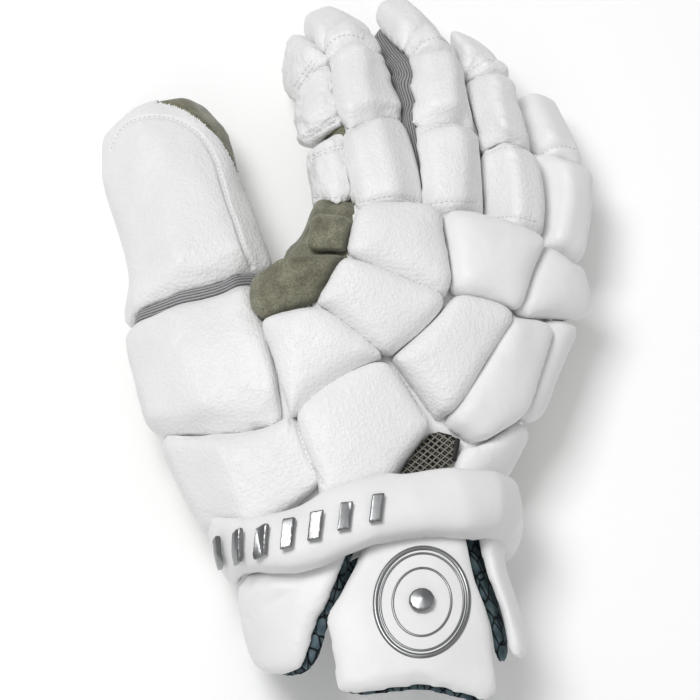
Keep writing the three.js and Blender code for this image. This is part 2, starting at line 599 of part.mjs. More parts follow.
// The thumb-side lining stands out past its leather along the edge that faces the middle flap
const liningCorners = {
  flap_thumb_side: [
    [-0.53, 0.07], [-0.03, 0.07], [-0.068, 0.21], [-0.252, 0.585], [-0.305, 0.61], [-0.40, 0.58], [-0.48, 0.51],
    [-0.54, 0.40], [-0.55, 0.25]],
};
const flapRings = { under: [0, 0.55, 0.9, 1], upper: [1, 0.9, 0.55, 0], longest: 16 };
for (const [name, corners] of Object.entries(flapCorners)) {
  const lining = surfacePad(cuff, liningCorners[name] ?? corners, 0, flapLining, 9, flapRings).subtract(bodyReach);
  const leather = surfacePad(cuff, corners, flapLining + 2 * clearance, flapLeather, 6, flapRings);
  addPiece(name, toGeometry(leather), white);
  addPiece(`${name}_lining`, toGeometry(lining), printed);
}

addPiece('wrist_band', toGeometry(aboveHeight(band, clearance)), white);

// Trim: two oval rings round a stud on the middle flap, and a row of slanted bars on the band
const emblem = { share: 0.080, along: 0.49, above: flapLining + flapLeather + 3 * clearance };
const flapGirth = girthOf(cuffHalfWidth + emblem.above, cuffHalfDepth + emblem.above, palmPower).total;
const onFlap = (x, y, above) => cuff.point(
  emblem.share + x / flapGirth, emblem.along - y / cuffLength, emblem.above + above);
function ovalRing(halfWidth, halfHeight, bar) {
  const corners = [[-bar / 2, 0], [bar / 2, 0], [bar / 2, ringRelief], [-bar / 2, ringRelief]];
  const steps = 28;
  const points = [];
  for (let i = 0; i < steps; i++) {
    const angle = 2 * Math.PI * i / steps;
    for (const [out, above] of corners) {
      points.push(onFlap((halfWidth + out) * Math.cos(angle), (halfHeight + out) * Math.sin(angle), above));
    }
  }
  const triangles = [];
  for (let i = 0; i < steps; i++) {
    for (let k = 0; k < 4; k++) {
      const [a, b] = [i * 4 + k, i * 4 + (k + 1) % 4];
      const [c, d] = [(i + 1) % steps * 4 + k, (i + 1) % steps * 4 + (k + 1) % 4];
      triangles.push(a, c, b, b, c, d);
    }
  }
  return closedSurface(points, triangles);
}
addPiece('emblem_ring_outer', ovalRing(ringHalfWidth - ringBar / 2, ringHalfHeight - ringBar / 2, ringBar), silver);
addPiece('emblem_ring_inner', ovalRing(
  ringHalfWidth - ringBar - ringSpacing, ringHalfHeight - ringBar - ringSpacing, ringBar / 2), silver);
const studRings = [1, 0.6, 0].map((share) => ring(12, -180, 180, (angle) => onFlap(
  Math.max(share, 0.02) * studHalfWidth * Math.sin(angle), Math.max(share, 0.02) * studHalfWidth * Math.cos(angle),
  ringRelief * (1.4 - 0.4 * share))));
const studBase = ring(12, -180, 180, (angle) => onFlap(studHalfWidth * Math.sin(angle), studHalfWidth * Math.cos(angle), 0));
addPiece('emblem_stud', loft([studBase, ...studRings]), silver);

const bandGirth = girthOf(
  cuffHalfWidth + bandBase + bandThickness, cuffHalfDepth + bandBase + bandThickness, palmPower).total;
const barStart = -0.78;        // share of the band's reach where the row begins
for (let i = 0; i < barCount; i++) {
  const bar = (above) => (u, v) => {
    const q = barStart + (i * barPitch + u * barWidth / 2 + v * barLean) / (bandGirth * bandReach);
    const r = v * barHeight / bandWidth;
    return bandPoint(q, r, bandCrown(q, r) + above);
  };
  const solid = toSolid(thickSheet(2, 2, bar(clearance + barRelief), bar(clearance)));
  addPiece(`band_bar_${i + 1}`, toGeometry(clearOf(solid, [thumbPads.thumb_base_pad])), silver);
}

const box = new THREE.Box3().setFromObject(glove);
const middle = box.getCenter(new THREE.Vector3());
glove.position.set(-middle.x, -middle.y, -box.min.z);
const standing = new THREE.Group();
standing.add(glove);
export default standing;
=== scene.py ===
import math

import bpy
import numpy as np
from mathutils import Matrix, Vector, noise
from mathutils.bvhtree import BVHTree


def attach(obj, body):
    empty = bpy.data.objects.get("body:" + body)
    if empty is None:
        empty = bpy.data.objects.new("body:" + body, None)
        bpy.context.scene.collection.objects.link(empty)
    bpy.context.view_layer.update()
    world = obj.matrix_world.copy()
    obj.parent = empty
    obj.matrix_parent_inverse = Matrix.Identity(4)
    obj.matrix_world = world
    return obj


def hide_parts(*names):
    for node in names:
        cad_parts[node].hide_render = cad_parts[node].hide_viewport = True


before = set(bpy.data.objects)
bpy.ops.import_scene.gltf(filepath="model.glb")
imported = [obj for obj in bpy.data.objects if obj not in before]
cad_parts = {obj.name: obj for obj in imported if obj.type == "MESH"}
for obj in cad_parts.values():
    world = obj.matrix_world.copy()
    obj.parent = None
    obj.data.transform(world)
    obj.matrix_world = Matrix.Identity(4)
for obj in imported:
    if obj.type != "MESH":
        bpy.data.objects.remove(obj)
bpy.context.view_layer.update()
print("frame loaded")

mm = 0.001
smoothAngle = math.radians(60)
scene = bpy.context.scene


# Camera, with the photograph's own frame and scale
photo = {
    "side": 700,  # pixels
    "pixel": 0.43 * mm,  # at the target
    "turn": 12.0,  # degrees, to the right of +Y
    "elevation": 68.0,
    "distance": 1.5,
    "target": Vector((-8.60 * mm, 9.01 * mm, 0.0)),
}
sensorWidth = 36.0


def cameraAxes():
    turn = math.radians(photo["turn"])
    rise = math.radians(photo["elevation"])
    level = Vector((math.sin(turn), math.cos(turn), 0.0))
    forward = level * math.cos(rise) - Vector((0.0, 0.0, math.sin(rise)))
    right = Vector((math.cos(turn), -math.sin(turn), 0.0))
    return right, right.cross(forward), forward


viewRight, viewUp, viewForward = cameraAxes()
cameraPlace = photo["target"] - viewForward * photo["distance"]


def addCamera():
    turned = viewForward.to_track_quat("-Z", "Y").to_euler()
    bpy.ops.object.camera_add(location=cameraPlace, rotation=turned)
    camera = bpy.context.object
    camera.name = "photoCamera"
    camera.data.sensor_width = sensorWidth
    halfFrame = photo["side"] / 2 * photo["pixel"]
    camera.data.lens = sensorWidth / 2 * photo["distance"] / halfFrame
    camera.data.clip_end = 20
    scene.camera = camera


def photoRay(spot):
    middle = photo["side"] / 2
    across = (spot[0] - middle) * photo["pixel"]
    upwards = (middle - spot[1]) * photo["pixel"]
    goal = photo["target"] + viewRight * across + viewUp * upwards
    return (goal - cameraPlace).normalized()


addCamera()
print("camera placed")


# Small helpers for meshes
def deselectAll():
    bpy.ops.object.select_all(action="DESELECT")


def activate(obj):
    deselectAll()
    obj.select_set(True)
    bpy.context.view_layer.objects.active = obj


def applyModifier(obj, modifier):
    activate(obj)
    bpy.ops.object.modifier_apply(modifier=modifier.name)


def pointsOf(obj):
    flat = np.empty(len(obj.data.vertices) * 3)
    obj.data.vertices.foreach_get("co", flat)
    return flat.reshape(-1, 3)


def normalsOf(obj):
    flat = np.empty(len(obj.data.vertices) * 3)
    obj.data.vertices.foreach_get("normal", flat)
    return flat.reshape(-1, 3)


def setPoints(obj, points):
    obj.data.vertices.foreach_set("co", points.ravel())
    obj.data.update()


def smoothShade(obj):
    activate(obj)
    bpy.ops.object.shade_smooth_by_angle(angle=smoothAngle)


def copyNode(node, name):
    obj = bpy.data.objects.new(name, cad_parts[node].data.copy())
    scene.collection.objects.link(obj)
    obj.data.materials.clear()
    activate(obj)
    bpy.ops.object.mode_set(mode="EDIT")
    bpy.ops.mesh.select_all(action="SELECT")
    bpy.ops.mesh.remove_doubles(threshold=0.02 * mm)
    bpy.ops.mesh.normals_make_consistent(inside=False)
    bpy.ops.object.mode_set(mode="OBJECT")
    return obj


def remesh(obj, voxel):
    modifier = obj.modifiers.new("remesh", "REMESH")
    modifier.mode = "VOXEL"
    modifier.voxel_size = voxel
    modifier.use_smooth_shade = True
    applyModifier(obj, modifier)


def grow(obj, distance):
    setPoints(obj, pointsOf(obj) + normalsOf(obj) * distance)


def relax(obj, repeats):
    modifier = obj.modifiers.new("relax", "SMOOTH")
    modifier.factor = 0.5
    modifier.iterations = repeats
    applyModifier(obj, modifier)


def subdivide(obj, levels):
    modifier = obj.modifiers.new("subdivide", "SUBSURF")
    modifier.levels = levels
    modifier.render_levels = levels
    applyModifier(obj, modifier)


def thin(obj, ratio):
    modifier = obj.modifiers.new("thin", "DECIMATE")
    modifier.ratio = ratio
    applyModifier(obj, modifier)


def treeOf(objects):
    points = []
    faces = []
    for obj in objects:
        start = len(points)
        points.extend(vertex.co.copy() for vertex in obj.data.vertices)
        faces.extend([start + i for i in face.vertices] for face in obj.data.polygons)
    return BVHTree.FromPolygons(points, faces)


def treesOf(objects):
    graph = bpy.context.evaluated_depsgraph_get()
    return [BVHTree.FromObject(obj, graph) for obj in objects]


# Places on the surface, named by the photograph's pixels
def photoSpots(points):
    away = np.asarray(points) - np.array(cameraPlace)
    depth = away @ np.array(viewForward) / photo["distance"]
    across = away @ np.array(viewRight) / depth / photo["pixel"]
    upwards = away @ np.array(viewUp) / depth / photo["pixel"]
    return np.stack([photo["side"] / 2 + across, photo["side"] / 2 - upwards], axis=1)


def insideOutline(spots, outline):
    inside = np.zeros(len(spots), dtype=bool)
    x, y = spots[:, 0], spots[:, 1]
    for (x0, y0), (x1, y1) in zip(outline, outline[1:] + outline[:1]):
        if y0 == y1:
            continue
        crossing = (y0 > y) != (y1 > y)
        inside ^= crossing & (x < (x1 - x0) * (y - y0) / (y1 - y0) + x0)
    return inside


def firstHit(trees, spot):
    hits = [tree.ray_cast(cameraPlace, photoRay(spot)) for tree in trees]
    hits = [hit for hit in hits if hit[0] is not None]
    return min(hits, key=lambda hit: hit[3]) if hits else None


def roundedSpots(spots):  # every pass cuts each corner at a quarter of its sides
    for _ in range(3):
        cut = [spots[0]]
        for (x0, y0), (x1, y1) in zip(spots, spots[1:]):
            cut.append((0.75 * x0 + 0.25 * x1, 0.75 * y0 + 0.25 * y1))
            cut.append((0.25 * x0 + 0.75 * x1, 0.25 * y0 + 0.75 * y1))
        cut.append(spots[-1])
        spots = cut
    return spots


def castPath(trees, spots, step):
    hits = [firstHit(trees, spot) for spot in roundedSpots(spots)]
    hits = [hit for hit in hits if hit]
    if len(hits) < 2:
        return np.empty((0, 3)), np.empty((0, 3))
    places = np.array([hit[0] for hit in hits])
    normals = np.array([hit[1] for hit in hits])
    lengths = np.concatenate([[0], np.cumsum(np.linalg.norm(np.diff(places, axis=0), axis=1))])
    marks = np.arange(0, lengths[-1], step)
    evenly = [
        np.stack([np.interp(marks, lengths, part[:, i]) for i in range(3)], axis=1)
        for part in (places, normals)
    ]
    evenly[1] /= np.linalg.norm(evenly[1], axis=1)[:, None]
    return evenly


# Small shifts that lay each piece on the photograph's own outlines, in its pixels:
# first where a point falls, then where it belongs
shiftLook = {
    "stiffness": 300.0,
    "most": 24.0,  # pixels
    "nudges": {"flap_finger_side_cover": (4, 0), "flap_finger_side_lining_piece": (-3, 2)},  # right and down
}
shifts = {
    "index": [
        ((328, 5), (329, 9)), ((374, 38.5), (377, 48)), ((316, 54), (332, 63)), ((335.5, 131), (344, 125)),
        ((403, 131), (400, 115.5)), ((339, 133), (351, 129)), ((349, 198), (356, 203)),
        ((418, 200), (420.5, 201)),
    ],
    "indexSide": [
        ((273, 63.5), (284, 65.5)), ((288.5, 84.5), (295.5, 96)), ((289, 96), (296, 111.5)),
        ((308.5, 148), (308, 142)), ((333.5, 131), (342, 119)), ((305.5, 165), (308, 154)),
        ((310.5, 196), (311.5, 201)),
    ],
    "middle": [
        ((393, 0), (398, 4.5)), ((374, 17), (378, 15.5)), ((402.5, 48), (409.5, 56)),
        ((443, 42), (452.5, 52)), ((418, 133), (418, 127)), ((468, 133), (471, 121)),
        ((421, 213), (421, 211.5)), ((478.5, 215), (484, 213.5)), ((472, 142), (480.5, 133)),
        ((398, 72), (413, 78)), ((396, 38), (406, 43)), ((410, 112), (417, 107)),
    ],
    "ring": [
        ((454.5, 24), (450, 31.5)), ((493, 42.5), (496, 59.5)), ((466, 82.5), (467.5, 81)),
        ((508.5, 69), (507, 73)), ((477.5, 161.5), (482.5, 148)), ((529.5, 156), (525, 142.5)),
        ((481.5, 217), (485.5, 219)), ((537.5, 232.5), (540.5, 234.5)), ((531.5, 165.5), (534.5, 154)),
    ],
    "pinky": [
        ((526, 90.5), (520, 100)), ((551, 90.5), (546, 96)), ((577.5, 150), (579.5, 157.5)),
        ((531.5, 157.5), (540, 159.5)), ((581.5, 177), (590.5, 174)), ((584, 215), (589, 218)),
        ((577.5, 254), (579, 261.5)), ((541, 238.5), (542.5, 246)),
    ],
    "back": [
        ((351.5, 204), (357.5, 207.5)), ((443, 206), (442.5, 210.5)), ((451, 292), (448, 290.5)),
        ((352.5, 250), (351, 254)), ((449, 215.5), (444, 215.5)), ((545, 246), (540.5, 244)),
        ((524, 307.5), (519, 309.5)), ((454.5, 298), (454, 294)), ((549, 246), (544, 250)),
        ((585.5, 284.5), (581, 275)), ((570, 315.5), (580, 319)), ((518, 311.5), (515, 315.5)),
    ],
    "web": [
        ((299, 202), (307.5, 206)), ((351, 202), (354, 209.5)), ((345, 246), (344, 254)),
        ((304.5, 227), (303, 243)), ((286, 221), (297, 236)), ((291, 205), (301, 212)),
        ((339, 261.5), (344, 256)), ((254.5, 292), (252, 287)), ((264, 315.5), (261.5, 319)),
        ((320, 300), (319, 304)),
    ],
    "indexEdges": [
        ((397, 80), (388, 79)), ((390, 65), (382, 61)), ((407, 122), (399, 109)), ((308.5, 146), (308, 153)),
        ((345, 132), (346, 138)),
    ],
    "thumbBase": [
        ((162.5, 447), (161.5, 437)), ((133, 322.5), (126, 329.5)), ((272, 403), (283, 417)),
        ((136, 384), (142.5, 384)), ((160, 453.5), (165, 440)), ((300.5, 408), (294, 419)),
        ((310, 454), (318, 478)), ((274, 379.5), (277, 385)),
    ],
    "heel": [
        ((307.5, 422.5), (300, 417)), ((393.5, 375), (385, 362)), ((422, 413), (429, 418)),
        ((403, 460.5), (396, 466)), ((317, 477), (322, 486)), ((285, 379.5), (277.5, 379.5)),
        ((261.5, 325), (262.5, 322.5)), ((322, 315), (318.5, 308)), ((386, 363), (378.5, 358.5)),
        ((305, 415), (290, 415)),
    ],
    "middleBack": [
        ((321, 308), (320, 306)), ((437, 294), (441, 298)), ((394.5, 358), (390.5, 354.5)),
        ((448, 297.5), (449.5, 301)), ((507, 317), (511, 311)), ((438.5, 417.5), (444, 413.5)),
        ((402, 355.5), (390, 358)), ((555, 322.5), (551, 323)), ((462.5, 444), (472, 443)),
        ((524.5, 425), (528, 427)), ((427, 437), (430.5, 433)), ((457.5, 446), (456.5, 441)),
    ],
    "band": [
        ((191, 525), (202, 522)), ((195, 560), (214, 562)), ((218, 585), (236, 585)),
        ((236, 494), (240, 514)), ((262, 485), (265, 508)), ((326, 478), (326, 488)),
        ((391, 473), (391, 472)), ((300, 550), (300, 572)), ((331, 541.5), (331, 560)),
        ((360, 537.5), (360, 549)), ((402, 536), (402, 539)), ((435, 534), (435, 535.5)),
        ((451, 470), (452, 468)), ((524, 491.5), (519, 485)), ((536, 537), (521, 534)),
        ((529, 567.5), (509, 560.5)),
    ],
    "flaps": [
        ((235, 594), (236, 587)), ((238.5, 632), (238, 622)), ((245.5, 655.5), (247, 650)),
        ((267, 669), (271, 672)), ((277, 667.5), (290, 673)), ((293, 665), (302, 672)),
        ((317, 622.5), (321, 622.5)), ((360, 555.5), (355, 556)), ((326.5, 598.5), (329, 605)),
        ((345, 702), (350, 693)), ((422, 680), (423, 684)), ((488, 674), (480, 691)),
        ((499, 668), (496, 682)), ((491, 632), (489, 625)), ((467, 537), (468, 541)),
        ((515, 555.5), (503, 552)), ((522, 646), (517, 657)), ((515, 648.5), (506, 660)),
        ((529, 637), (521, 645)),
    ],
    "thumb": [
        ((168, 106), (158, 102)), ((109, 144.5), (105, 147.5)), ((104, 185), (107, 186.5)),
        ((120, 283.5), (132, 283.5)), ((137, 308.5), (137, 308.5)), ((242.5, 171.5), (232, 158.5)),
        ((251, 194.5), (240, 193)), ((262, 233.5), (254, 225.5)), ((266.5, 264.5), (272, 268)),
        ((143, 304), (139, 309)), ((259, 280), (253, 275)), ((137, 324), (140, 321)),
        ((255.5, 289.5), (250.5, 290)), ((224.5, 275.5), (224.5, 280.5)), ((184, 285), (184, 289.5)),
    ],
}


def bending(starts, spots):
    apart = np.linalg.norm(spots[:, None] - starts[None], axis=2)
    return apart ** 2 * np.log(np.maximum(apart, 1e-6))


def fitShifts():
    pairs = [pair for group in shifts.values() for pair in group]
    starts = np.array([start for start, _ in pairs], dtype=float)
    goals = np.array([goal for _, goal in pairs], dtype=float)
    count = len(starts)
    flat = np.hstack([np.ones((count, 1)), starts])
    left = np.zeros((count + 3, count + 3))
    left[:count, :count] = bending(starts, starts) + shiftLook["stiffness"] * np.eye(count)
    left[:count, count:] = flat
    left[count:, :count] = flat.T
    right = np.zeros((count + 3, 2))
    right[:count] = goals - starts
    return starts, np.linalg.solve(left, right)


shiftStarts, shiftWeights = fitShifts()


def slide(points, pixels):
    turn = math.radians(photo["turn"])
    level = np.array([math.sin(turn), math.cos(turn), 0.0]) / math.sin(math.radians(photo["elevation"]))
    steps = pixels * photo["pixel"]
    return points + steps[:, :1] * np.array(viewRight) - steps[:, 1:] * level


def shiftPiece(obj):
    points = pointsOf(obj)
    spots = photoSpots(points)
    count = len(shiftStarts)
    moved = bending(shiftStarts, spots) @ shiftWeights[:count]
    moved += np.hstack([np.ones((len(spots), 1)), spots]) @ shiftWeights[count:]
    moved += shiftLook["nudges"].get(obj.name, (0, 0))
    size = np.linalg.norm(moved, axis=1)
    moved *= np.minimum(1, shiftLook["most"] / np.maximum(size, 1e-6))[:, None]
    setPoints(obj, slide(points, moved))


def nearness(points, places, width):
    near = np.full(len(points), 1.0)
    for place in places:
        near = np.minimum(near, np.linalg.norm(points - place, axis=1))
    return np.clip(1 - (near / width) ** 2, 0, 1) ** 2


def pressGroove(obj, places, width, depth):
    points = pointsOf(obj)
    share = nearness(points, places, width)
    setPoints(obj, points - normalsOf(obj) * (depth * share)[:, None])


def paintPatch(obj, material, outline, facing):
    obj.data.materials.append(material)
    number = len(obj.data.materials) - 1
    count = len(obj.data.polygons)
    centres = np.empty(count * 3)
    normals = np.empty(count * 3)
    obj.data.polygons.foreach_get("center", centres)
    obj.data.polygons.foreach_get("normal", normals)
    inside = insideOutline(photoSpots(centres.reshape(-1, 3)), outline)
    inside &= normals.reshape(-1, 3) @ -np.array(viewForward) > facing
    for i in np.flatnonzero(inside):
        obj.data.polygons[i].material_index = number


def finishPiece(obj, material, slot, *nodes):
    obj.data.materials.clear()
    obj.data.materials.append(material)
    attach(obj, "root")
    if nodes:
        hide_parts(*nodes)


# Materials
class Finish:  # node tree of one material
    def __init__(self, name, colour, roughness, **values):
        self.material = bpy.data.materials.new(name)
        self.material.use_nodes = True
        self.nodes = self.material.node_tree.nodes
        self.links = self.material.node_tree.links
        self.shader = self.nodes["Principled BSDF"]
        self.shader.inputs["Base Color"].default_value = (*colour, 1)
        self.shader.inputs["Roughness"].default_value = roughness
        for socket, value in values.items():
            self.shader.inputs[socket.replace("_", " ")].default_value = value
        self.place = self.nodes.new("ShaderNodeTexCoord").outputs["Object"]
        self.height = None

    def mapped(self, scale=(1, 1, 1), turned=(0, 0, 0)):
        node = self.nodes.new("ShaderNodeMapping")
        node.inputs["Scale"].default_value = scale
        node.inputs["Rotation"].default_value = [math.radians(angle) for angle in turned]
        self.links.new(self.place, node.inputs["Vector"])
        return node.outputs["Vector"]

    def noise(self, pitch, detail):
        node = self.nodes.new("ShaderNodeTexNoise")
        node.inputs["Scale"].default_value = 1 / pitch
        node.inputs["Detail"].default_value = detail
        self.links.new(self.place, node.inputs["Vector"])
        return node.outputs["Fac"]

    def cells(self, pitch, feature, vector=None, spread=1.0):
        node = self.nodes.new("ShaderNodeTexVoronoi")
        node.feature = feature
        node.inputs["Scale"].default_value = 1 / pitch
        node.inputs["Randomness"].default_value = spread
        self.links.new(vector or self.place, node.inputs["Vector"])
        return node.outputs["Distance"]

    def wave(self, pitch, vector):
        node = self.nodes.new("ShaderNodeTexWave")
        node.inputs["Scale"].default_value = math.pi / 10 / pitch  # a band is pi / 10 / scale wide
        self.links.new(vector, node.inputs["Vector"])
        return node.outputs["Fac"]

    def attribute(self, name):
        node = self.nodes.new("ShaderNodeAttribute")
        node.attribute_name = name
        return node.outputs["Fac"]

    def sum(self, first, second, kind="ADD", clamp=False):
        node = self.nodes.new("ShaderNodeMath")
        node.operation = kind
        node.use_clamp = clamp
        for socket, value in zip(node.inputs, (first, second)):
            if isinstance(value, (int, float)):
                socket.default_value = value
            else:
                self.links.new(value, socket)
        return node.outputs["Value"]

    def ranged(self, value, low, high, fromLow=0.0, fromHigh=1.0):
        node = self.nodes.new("ShaderNodeMapRange")
        for name, number in zip(("From Min", "From Max", "To Min", "To Max"), (fromLow, fromHigh, low, high)):
            node.inputs[name].default_value = number
        self.links.new(value, node.inputs["Value"])
        return node.outputs["Result"]

    def ramp(self, value, stops):
        node = self.nodes.new("ShaderNodeValToRGB")
        elements = node.color_ramp.elements
        while len(elements) < len(stops):
            elements.new(0.5)
        for element, (position, colour) in zip(elements, stops):
            element.position = position
            element.color = (*colour, 1)
        self.links.new(value, node.inputs["Fac"])
        return node.outputs["Color"]

    def colour(self, output):
        self.links.new(output, self.shader.inputs["Base Color"])

    def roughen(self, output):
        self.links.new(output, self.shader.inputs["Roughness"])

    def bump(self, height, strength, distance):
        node = self.nodes.new("ShaderNodeBump")
        node.inputs["Strength"].default_value = strength
        node.inputs["Distance"].default_value = distance
        self.links.new(height, node.inputs["Height"])
        if self.height is not None:
            self.links.new(self.height, node.inputs["Normal"])
        self.height = node.outputs["Normal"]
        self.links.new(self.height, self.shader.inputs["Normal"])


whiteColours = {"low": (0.84, 0.84, 0.84), "high": (0.90, 0.90, 0.90)}


def leather(name, grain, strength, spread):
    finish = Finish(name, (0.85, 0.85, 0.85), 0.45, Specular_IOR_Level=0.42)
    stain = finish.noise(28 * mm, 3)
    finish.colour(finish.ramp(stain, [(0.3, whiteColours["low"]), (0.7, whiteColours["high"])]))
    finish.roughen(finish.ranged(finish.noise(9 * mm, 2), 0.38, 0.55))
    finish.bump(finish.noise(5 * mm, 3), 0.35, 0.4 * mm)
    finish.bump(finish.cells(grain, "SMOOTH_F1", spread=spread), strength, 0.45 * mm)
    return finish.material


embossedLeather = leather("embossedLeather", 1.4 * mm, 0.9, 0.6)
smoothLeather = leather("smoothLeather", 0.6 * mm, 0.15, 1.0)


def suede(name, dark, light):
    finish = Finish(name, light, 0.95, Specular_IOR_Level=0.12, Sheen_Weight=0.35, Sheen_Roughness=0.5)
    nap = finish.sum(finish.noise(0.9 * mm, 4), finish.noise(7 * mm, 3), "MULTIPLY")
    finish.colour(finish.ramp(nap, [(0.12, dark), (0.42, light)]))
    finish.bump(finish.noise(0.5 * mm, 4), 0.6, 0.25 * mm)
    return finish.material


oliveSuede = suede("oliveSuede", (0.115, 0.112, 0.078), (0.285, 0.282, 0.205))


def ribbedKnit(name, dark, light, pitch):
    finish = Finish(name, light, 0.85, Specular_IOR_Level=0.2, Sheen_Weight=0.25)
    rib = finish.sum(finish.attribute("ribPlace"), 2 * math.pi / pitch, "MULTIPLY")
    wave = finish.ranged(finish.sum(rib, 0, "SINE"), 0, 1, -1, 1)
    loops = finish.noise(0.6 * mm, 2)
    shade = finish.sum(wave, finish.ranged(loops, -0.35, 0.35), "ADD", True)
    finish.colour(finish.ramp(shade, [(0.05, dark), (0.8, light)]))
    finish.bump(shade, 0.9, 0.4 * mm)
    return finish.material


greyKnit = ribbedKnit("greyKnit", (0.12, 0.12, 0.122), (0.40, 0.40, 0.405), 0.8 * mm)
silverElastic = ribbedKnit("silverElastic", (0.13, 0.13, 0.135), (0.42, 0.42, 0.43), 1.35 * mm)


def ventMesh():
    finish = Finish("ventMesh", (0.1, 0.1, 0.09), 0.7, Specular_IOR_Level=0.3)
    strands = [finish.wave(2.1 * mm, finish.mapped(turned=(0, 0, angle))) for angle in (38, -38)]
    lattice = finish.sum(*strands, "MAXIMUM")
    fuzz = finish.ranged(finish.noise(0.7 * mm, 3), -0.3, 0.3)
    shade = finish.sum(lattice, fuzz, "ADD", True)
    finish.colour(finish.ramp(shade, [(0.8, (0.004, 0.004, 0.004)), (1.0, (0.12, 0.115, 0.10))]))
    finish.bump(lattice, 1.0, 0.8 * mm)
    return finish.material


def printedLining():
    finish = Finish("printedLining", (0.08, 0.11, 0.13), 0.8, Specular_IOR_Level=0.2)
    vector = finish.mapped(scale=(1, 0.62, 0.62), turned=(0, 0, 24))
    border = finish.cells(4.2 * mm, "DISTANCE_TO_EDGE", vector)
    tint = finish.noise(6 * mm, 1)
    fill = finish.ramp(tint, [(0.35, (0.045, 0.075, 0.09)), (0.65, (0.12, 0.17, 0.19))])
    mix = finish.nodes.new("ShaderNodeMix")
    mix.data_type = "RGBA"
    mix.inputs["A"].default_value = (0.004, 0.004, 0.005, 1)
    finish.links.new(finish.ranged(border, 0, 1, 0.03, 0.10), mix.inputs["Factor"])
    finish.links.new(fill, mix.inputs["B"])
    finish.colour(mix.outputs["Result"])
    finish.bump(finish.noise(0.5 * mm, 3), 0.5, 0.2 * mm)
    return finish.material


def plain(name, colour, roughness, grain, strength, **values):
    finish = Finish(name, colour, roughness, **values)
    finish.roughen(finish.ranged(finish.noise(4 * mm, 3), roughness * 0.8, min(1, roughness * 1.25)))
    finish.bump(finish.noise(grain, 3), strength, 0.1 * mm)
    return finish.material


latticeMesh = ventMesh()
cellLining = printedLining()
silverFoil = plain("silverFoil", (0.30, 0.305, 0.31), 0.34, 1.5 * mm, 0.04, Metallic=1.0)
blackBinding = plain("blackBinding", (0.008, 0.008, 0.008), 0.6, 0.5 * mm, 0.5)
# the thread is white, but its colour is darkened to grey as painted shade, so the stitches stand out on the
# white leather
threadWithPaintedShade = plain("threadWithPaintedShade", (0.66, 0.66, 0.66), 0.6, 0.3 * mm, 0.5)
strandCord = plain("strandCord", (0.27, 0.26, 0.22), 0.7, 0.4 * mm, 0.6)
print("finishes made")


# Leather covers of the foam pads: one per CAD pad, swollen by cloth pressure
coverDefaults = {
    "finish": embossedLeather,
    "fill": 0.7,
    "voxel": 1.35 * mm,
    "grow": 1.75 * mm,
    "relax": 12,
    "pressure": 4.0,
    "rimCap": 0.4 * mm,  # how far a point may swell at the base
    "crownCap": 1.7 * mm,  # and at the crown
    "crownHeight": 9 * mm,
    "folds": 0.25 * mm,
    "foldSize": 16 * mm,
}
swellSteps = 20
smoothPads = {"finish": smoothLeather, "folds": 0.3 * mm}
sidePads = {"folds": 0.9 * mm, "foldSize": 7 * mm, "fill": 0.45, "relax": 7, "grow": 1.1 * mm}
trimPads = {"finish": smoothLeather, "grow": 0.6 * mm, "crownCap": 1.0 * mm, "folds": 0.12 * mm}
covers = {
    "thumb_base_pad": {"relax": 14},
    "thumb_middle_pad": {"relax": 14},
    "thumb_tip_pad": {"relax": 14, "folds": 0.2 * mm},
    "heel_pad": {},
    "back_thumb_pad": {},
    "back_index_pad": {},
    "back_middle_pad": {},
    "back_pinky_pad": smoothPads,
    "side_strip": smoothPads,
    "wrist_side_panel": smoothPads,
    "knuckle_index_pad": {},
    "knuckle_middle_pad": smoothPads,
    "knuckle_pinky_pad": smoothPads,
    "index_base_pad": {},
    "index_middle_pad": {},
    "index_joint_pad": {},
    "index_tip_pad": {},
    "index_side_base": sidePads,
    "index_side_middle": sidePads,
    "index_side_tip": sidePads,
    "middle_base_pad": {},
    "middle_middle_pad": {},
    "middle_joint_pad": {},
    "middle_tip_pad": {},
    "ring_base_pad": {},
    "ring_middle_pad": {},
    "ring_joint_pad": {},
    "ring_tip_pad": {},
    "pinky_base_pad": smoothPads,
    "pinky_tip_pad": smoothPads,
    "wrist_band": {**trimPads, "relax": 12, "crownHeight": 12 * mm},
    "flap_thumb_side": trimPads,
    "flap_middle": trimPads,
    "flap_finger_side": trimPads,
}
shellNodes = ["palm_suede", "thumb_suede", "index_suede", "middle_suede", "ring_suede",
              "back_base", "middle_gusset", "ring_gusset", "pinky_gusset"]


def addCloth(obj, pressure):
    cloth = obj.modifiers.new("swell", "CLOTH")
    cloth.settings.use_pressure = True
    cloth.settings.uniform_pressure_force = pressure
    cloth.settings.effector_weights.gravity = 0
    cloth.settings.quality = 4
    cloth.point_cache.frame_start = 1
    cloth.point_cache.frame_end = swellSteps


def capSwelling(obj, before, style, shellTree):
    after = pointsOf(obj)
    move = after - before
    reach = np.linalg.norm(move, axis=1)
    height = np.array([shellTree.find_nearest(Vector(point))[3] for point in before])
    share = np.clip(height / style["crownHeight"], 0, 1)
    limit = style["rimCap"] + (style["crownCap"] - style["rimCap"]) * share
    factor = np.minimum(1, limit / np.maximum(reach, 1e-9))
    setPoints(obj, before + move * factor[:, None])


def addFolds(obj, amount, size, seed):
    points = pointsOf(obj)
    normals = normalsOf(obj)
    shift = Vector((seed * 3.7, seed * 1.3, seed * 2.1))
    heights = np.array([noise.fractal(Vector(point) / size + shift, 1.0, 2.0, 3) for point in points])
    setPoints(obj, points + normals * (heights * amount)[:, None])


